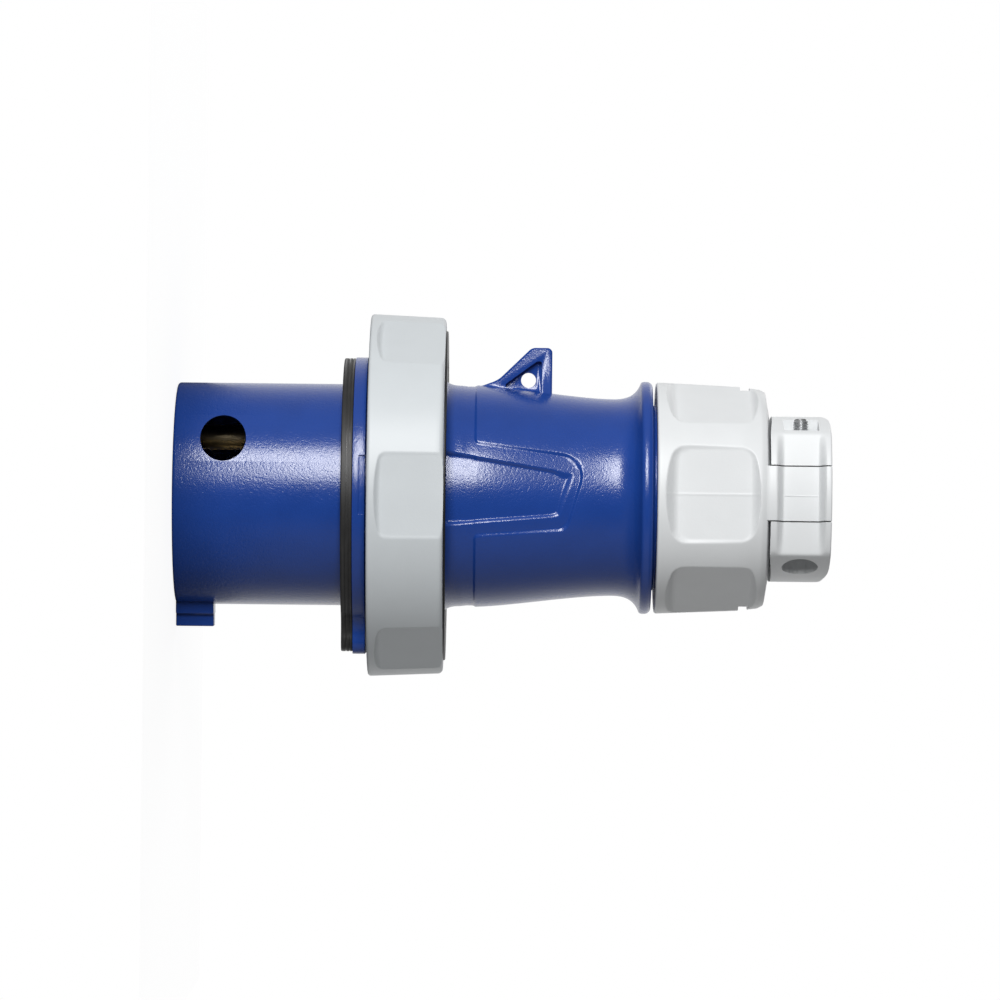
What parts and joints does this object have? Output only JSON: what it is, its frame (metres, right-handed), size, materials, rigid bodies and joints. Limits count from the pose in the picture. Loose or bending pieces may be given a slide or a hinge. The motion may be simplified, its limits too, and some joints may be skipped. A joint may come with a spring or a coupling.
{
  "type": "pin and sleeve plug",
  "caption": "Watertight cable plug: contact pins in a round sleeve, lobed flange with gasket, bayonet locking ring, waisted handle with hanging ear, gland nut and cable clamp.",
  "frame": {"origin": "centre of the sleeve's rim, on the plug's axis", "axes": "+Z along the plug's axis towards the cable end, -X towards the hanging ear, +X towards the key rib, -Y towards the side that the picture shows"},
  "size_m": [0.1162, 0.1162, 0.2082],
  "materials": {
    "blue_housing": "fine spark-eroded texture, satin",
    "ring_grey": "fine moulded texture, satin",
    "nut_grey": "smooth moulded, satin",
    "black_rubber": "matt",
    "black_plastic": "satin",
    "contact_brass": "turned",
    "screw_steel": "zinc plated"
  },
  "bodies": {
    "plug_body": {"sleeve_housing": "blue_housing", "flange_gasket": "black_rubber", "body_seal": "black_rubber", "contact_carrier": "black_plastic", "carrier_screws": "screw_steel", "phase_pin_1": "contact_brass", "phase_pin_2": "contact_brass", "phase_pin_3": "contact_brass", "earth_pin": "contact_brass", "pilot_pin": "contact_brass", "terminal_screws": "screw_steel", "handle_body": "blue_housing", "cable_grommet": "black_rubber"},
    "slip_carriage": {"slip_ring": "black_plastic", "ring_retainer": "black_plastic"},
    "bayonet_ring": {"locking_ring": "ring_grey"},
    "thrust_carriage": {"thrust_ring": "nut_grey"},
    "gland": {"gland_nut": "nut_grey"},
    "upper_clamp": {"upper_jaw": "nut_grey", "clamp_nuts": "screw_steel"},
    "lower_clamp": {"lower_jaw": "nut_grey", "clamp_screw_near": "screw_steel", "clamp_screw_far": "screw_steel"}
  },
  "joints": [
    {"name": "ring_slide", "type": "slide", "parent": "plug_body", "child": "slip_carriage", "axis": [0, 0, -1], "range_m": [0, 0.0155]},
    {"name": "ring_turn", "type": "hinge", "parent": "slip_carriage", "child": "bayonet_ring", "pos_m": [0, 0, 0.08], "axis": [0, 0, -1], "range_deg": [0, 45]},
    {"name": "gland_advance", "type": "slide", "parent": "plug_body", "child": "thrust_carriage", "axis": [0, 0, 1], "range_m": [0, 0.0125]},
    {"name": "gland_turn", "type": "hinge", "parent": "thrust_carriage", "child": "gland", "pos_m": [0, 0, 0.17], "axis": [0, 0, 1], "range_deg": [0, 1440]},
    {"name": "upper_jaw_slide", "type": "slide", "parent": "gland", "child": "upper_clamp", "axis": [-0.9992, 0.0401, 0], "range_m": [0, 0.005]},
    {"name": "lower_jaw_slide", "type": "slide", "parent": "gland", "child": "lower_clamp", "axis": [0.9992, -0.0401, 0], "range_m": [0, 0.005]}
  ],
  "couplings": [
    {"joint": "gland_advance", "follows": "gland_turn", "m_per_rad": 0.00047746},
    {"joint": "lower_jaw_slide", "follows": "upper_jaw_slide", "ratio": 1}
  ]
}
